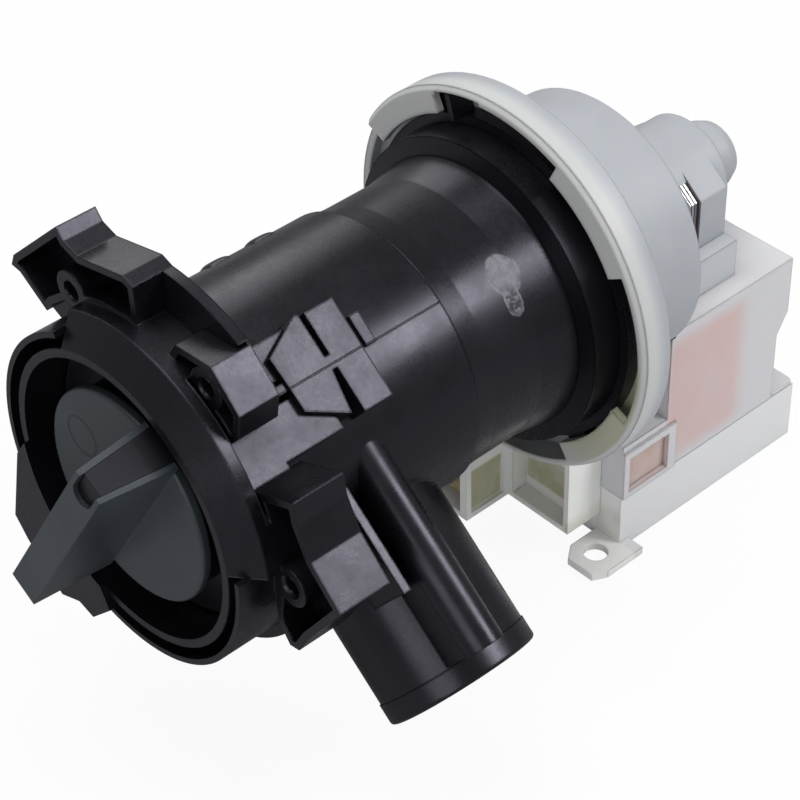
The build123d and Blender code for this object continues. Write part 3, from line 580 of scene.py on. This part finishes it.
wire = {
    "pitch": 0.00055,
    "deep": (0.30, 0.085, 0.045, 1),
    "bright": (0.66, 0.27, 0.16, 1),
    "patches": (160, 4),
    # painted highlight: limits and share for painting the crest of each turn lighter
    "turn": (-0.6, 0.6),
    "turnShare": 0.7,
    "patchShare": 0.3,
    "rough": 0.34,
    "roughPatches": 0.2,
    "relief": (0.00010, 0.9),
}


def tapedCopper(look):
    made = Finish("tapedCopper", Metallic=0.35, Coat_Weight=0.3, Coat_Roughness=0.25)
    turns = (made.z * (2 * math.pi / look["pitch"])).wave()
    patches = made.noise(*look["patches"])
    # painted highlight and shade: each turn is painted lighter on its crest and darker between; the patches
    # vary the copper's own tone
    lit = turns.ease(*look["turn"]) * look["turnShare"] + patches * look["patchShare"]
    made.colour(made.mix(lit, look["deep"], look["bright"]))
    made.rough(look["rough"] + patches.swing(look["roughPatches"]))
    made.relief(turns, *look["relief"])
    return made.material


moulded = {"cloud": (80, 4), "fine": (1300, 3), "roughCloud": 0.14, "relief": (0.00002, 0.6, 0.0004)}


def plainPlastic(name, first, second, rough, look=moulded):
    made = Finish(name, Specular_IOR_Level=0.45)
    cloud = made.noise(*look["cloud"])
    fine = made.noise(*look["fine"])
    made.colour(made.mix(cloud, first, second))
    made.rough(rough + cloud.swing(look["roughCloud"]))
    made.relief(fine, *look["relief"])
    return made.material


machined = {"cloud": (240, 4), "roughLines": 0.2, "relief": (0.00001, 0.6, 0.0002)}


def metal(name, first, second, rough, scales, look=machined):
    made = Finish(name, Metallic=1.0)
    lines = made.streaks(scales)
    cloud = made.noise(*look["cloud"])
    made.colour(made.mix(cloud, first, second))
    made.rough(rough + lines.swing(look["roughLines"]))
    made.relief(lines, *look["relief"])
    return made.material


finishes = {
    "black_housing": blackHousing(black),
    "black_filter": blackFilter(plug),
    "grey_grip": greyGrip(knob),
    "white_cover": whiteCover(cover),
    "milky_box": milkyBox(milky),
    "white_base": whiteBase(foot),
    "bobbin_plastic": plainPlastic("bobbinPlastic", (0.50, 0.45, 0.38, 1), (0.60, 0.56, 0.50, 1), 0.5),
    "impeller_plastic": plainPlastic("impellerPlastic", (0.36, 0.37, 0.40, 1), (0.47, 0.48, 0.50, 1), 0.45),
    "slip_washer": plainPlastic("slipWasher", (0.16, 0.13, 0.09, 1), (0.24, 0.20, 0.14, 1), 0.4),
    "seal_rubber": plainPlastic("sealRubber", (0.012, 0.012, 0.013, 1), (0.026, 0.025, 0.026, 1), 0.62),
    "mount_rubber": plainPlastic("mountRubber", (0.035, 0.032, 0.030, 1), (0.060, 0.055, 0.050, 1), 0.65),
    "sintered_bronze": metal("sinteredBronze", (0.36, 0.24, 0.11, 1), (0.50, 0.36, 0.20, 1), 0.45,
                             (600, 600, 600)),
    "ground_steel": metal("groundSteel", (0.60, 0.60, 0.61, 1), (0.70, 0.70, 0.71, 1), 0.24,
                          (2500, 60, 60)),
    "ferrite": metal("ferrite", (0.07, 0.07, 0.08, 1), (0.12, 0.12, 0.13, 1), 0.42, (1800, 80, 80)),
    "core_steel": stackedSteel(sheets),
    "copper": tapedCopper(wire),
    "tinned_brass": metal("tinnedBrass", (0.58, 0.46, 0.24, 1), (0.68, 0.58, 0.38, 1), 0.30,
                          (300, 2500, 300)),
}
slotOf = {row["node"]: row["material_slot"] for row in frame["record"]["subparts"]}
for name, piece in nodes.items():
    piece.data.materials.clear()
    piece.data.materials.append(finishes[slotOf[name]])
print("finishes made:", len(finishes))


def gridPiece(name, points, slot, body, closeU=False, closeV=False):
    # points[u, v] is a grid of places; neighbours become quads, and rows may close into rings
    rows, columns = points.shape[:2]
    index = np.arange(rows * columns).reshape(rows, columns)
    if closeU:
        index = np.vstack([index, index[:1]])
    if closeV:
        index = np.hstack([index, index[:, :1]])
    corners = [index[:-1, :-1], index[:-1, 1:], index[1:, 1:], index[1:, :-1]]
    faces = np.stack(corners, -1).reshape(-1, 4).tolist()
    mesh = bpy.data.meshes.new(name)
    mesh.from_pydata(points.reshape(-1, 3).tolist(), [], faces)
    mesh.update()
    piece = bpy.data.objects.new(name, mesh)
    bpy.context.scene.collection.objects.link(piece)
    bpy.context.view_layer.objects.active = piece
    piece.select_set(True)
    bpy.ops.object.mode_set(mode="EDIT")
    bpy.ops.mesh.select_all(action="SELECT")
    bpy.ops.mesh.normals_make_consistent(inside=False)
    bpy.ops.object.mode_set(mode="OBJECT")
    piece.select_set(False)
    piece.data.materials.append(finishes[slot])
    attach(piece, body)
    return piece


pips = {
    "places": ((0.0393, 50.0), (0.0525, 50.0)),  # X along the tube and angle round it
    "length": 0.0038,  # half of it, as the width
    "width": 0.0040,
    "height": 0.0013,
    "power": 4,
    "tubeR": 0.0360,
    "rimDepth": 0.0006,  # how deep the edge of the top and the underside lie in the tube's wall
    "rootDepth": 0.0014,
    "grid": (25, 17),
}


def tubePips(shape):
    # low rounded pads on the tube: height (1 - u^4)(1 - v^4) over a patch u, v of -1..1
    along, around = [np.linspace(-1, 1, count) for count in shape["grid"]]
    u, v = np.meshgrid(along, around, indexing="ij")
    fall = [np.clip(1 - way ** shape["power"], 0, 1) for way in (u, v)]
    for k, (x, angle) in enumerate(shape["places"]):
        rise = shape["height"] * fall[0] * fall[1]
        radius = shape["tubeR"] - shape["rimDepth"] + rise
        turn = math.radians(angle) + v * shape["width"] / shape["tubeR"]
        top = np.stack([x + u * shape["length"], radius * np.cos(turn), radius * np.sin(turn)], -1)
        low = top.copy()
        low[..., 1] = (shape["tubeR"] - shape["rootDepth"]) * np.cos(turn)
        low[..., 2] = (shape["tubeR"] - shape["rootDepth"]) * np.sin(turn)
        shell = np.concatenate([top, low[::-1]], 0)
        gridPiece("tube_pad_%d" % (k + 1), shell, "black_housing", "housing", closeU=True)


lid = {
    "low": (0.18390, -0.02790, -0.06640),
    "high": (0.19290, 0.02790, -0.06500),
    "power": 0.12,
    "around": 64,
    "up": 24,
}


def baseLid(shape):
    # strip that closes the base behind the coil cover: a superellipsoid, squared off by its small power
    # (cos v)^p (cos u)^p, (cos v)^p (sin u)^p, (sin v)^p, each with the sign of its last wave
    low, high = np.array(shape["low"]), np.array(shape["high"])
    middle, half = (low + high) / 2, (high - low) / 2
    u = np.linspace(-math.pi, math.pi, shape["around"], endpoint=False)
    v = np.linspace(-math.pi / 2, math.pi / 2, shape["up"])
    v, u = np.meshgrid(v, u, indexing="ij")

    def bent(wave):
        return np.sign(wave) * np.abs(wave) ** shape["power"]

    spread = np.abs(np.cos(v)) ** shape["power"]
    spread[[0, -1]] = 0.0
    unit = np.stack([spread * bent(np.cos(u)), spread * bent(np.sin(u)), bent(np.sin(v))], -1)
    gridPiece("base_lid", unit * half + middle, "milky_box", "motor", closeV=True)


winding = {
    "pitch": 0.0009,
    "ripple": 0.00014,
    "corner": 0.0038,
    "wall": 0.0062,
    "innerCorner": 0.0004,
    "steepness": 6,  # how fast the section turns its corners
    "samples": 6,  # rows for each turn
    "around": 96,
}


def windingCoil(node, shape):
    # rounded-rectangle section swept down the leg; its outside swells by |sin| once for each turn
    low, high = [np.array(corner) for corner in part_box(node)]
    middle, half = (low + high) / 2, (high - low) / 2
    turn = np.linspace(0, 2 * math.pi, shape["around"], endpoint=False)
    circle = np.stack([np.cos(turn), np.sin(turn)], -1)

    def section(reach, corner):
        # a circle of the corner's radius, pushed out to the four corners
        push = np.clip(circle * shape["steepness"], -1, 1) * (reach - corner)
        return push + corner * circle

    height = 2 * (half[2] - shape["ripple"])
    turns = int(height / shape["pitch"])
    down = np.linspace(0, 1, turns * shape["samples"])
    swell = np.abs(np.sin(down * turns * math.pi)) * 2 * shape["ripple"]
    outer = section(half[:2] - 2 * shape["ripple"], shape["corner"])
    inner = section(half[:2] - shape["wall"], shape["innerCorner"])
    out = outer / np.linalg.norm(outer, axis=1, keepdims=True)
    rows = outer[None] + swell[:, None, None] * out[None]
    z = middle[2] + height / 2 - down * height
    levels = np.broadcast_to(z[:, None, None], rows.shape[:2] + (1,))
    wall = np.concatenate([rows + middle[:2], levels], -1)
    ends = [np.concatenate([inner + middle[:2], np.full((len(turn), 1), at)], -1) for at in (z[-1], z[0])]
    points = np.concatenate([wall, np.stack(ends)], 0)
    piece = gridPiece(node + "_turns", points, "copper", "motor", closeU=True, closeV=True)
    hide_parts(node)


def setFloor(room):
    z = cadBox[0][2] - room["floorGap"]
    half = room["floorSize"] / 2
    mesh = bpy.data.meshes.new("floor")
    mesh.from_pydata([(-half, -half, z), (half, -half, z), (half, half, z), (-half, half, z)],
                     [], [(0, 1, 2, 3)])
    floor = bpy.data.objects.new("floor", mesh)
    bpy.context.scene.collection.objects.link(floor)
    made = Finish("paleFloor", Roughness=room["floorRough"])
    mirrored = made.node("LightPath", {}, {}, "Is Glossy Ray")
    made.colour(made.mix(mirrored, room["floorColour"], room["floorMirrored"]))
    path = made.node("LightPath", {}, {}, "Is Camera Ray")
    glow = made.node("Emission", {}, {"Color": room["glowColour"], "Strength": 1.0})
    lit = Shade(made, made.shader.outputs[0])
    blend = made.node("MixShader", {}, {0: path * room["floorGlow"], 1: lit, 2: glow})
    made.tree.links.new(blend.socket, made.tree.nodes["Material Output"].inputs["Surface"])
    mesh.materials.append(made.material)


def setWorld(room):
    world = bpy.data.worlds.new("room")
    world.use_nodes = True
    sky = world.node_tree.nodes["Background"]
    sky.inputs["Color"].default_value = room["worldColour"]
    ray = world.node_tree.nodes.new("ShaderNodeLightPath")
    level = world.node_tree.nodes.new("ShaderNodeMapRange")
    level.inputs["To Min"].default_value = room["worldLevel"]
    level.inputs["To Max"].default_value = 1.0
    world.node_tree.links.new(ray.outputs["Is Camera Ray"], level.inputs["Value"])
    world.node_tree.links.new(level.outputs[0], sky.inputs["Strength"])
    bpy.context.scene.world = world


def setLamps(room):
    for name, place, aim, width, watts in room["lamps"]:
        data = bpy.data.lights.new(name, "AREA")
        data.size = width
        data.energy = watts
        lamp = bpy.data.objects.new(name, data)
        lamp.location = place
        lamp.rotation_euler = (Vector(aim) - Vector(place)).to_track_quat("-Z", "Y").to_euler()
        bpy.context.scene.collection.objects.link(lamp)


setCamera(viewPoint)
setFloor(studio)
setWorld(studio)
setLamps(studio)
tubePips(pips)
baseLid(lid)
for node in ("coil_winding_near", "coil_winding_far"):
    windingCoil(node, winding)
bpy.context.scene.view_settings.view_transform = "Standard"
print("stage set")
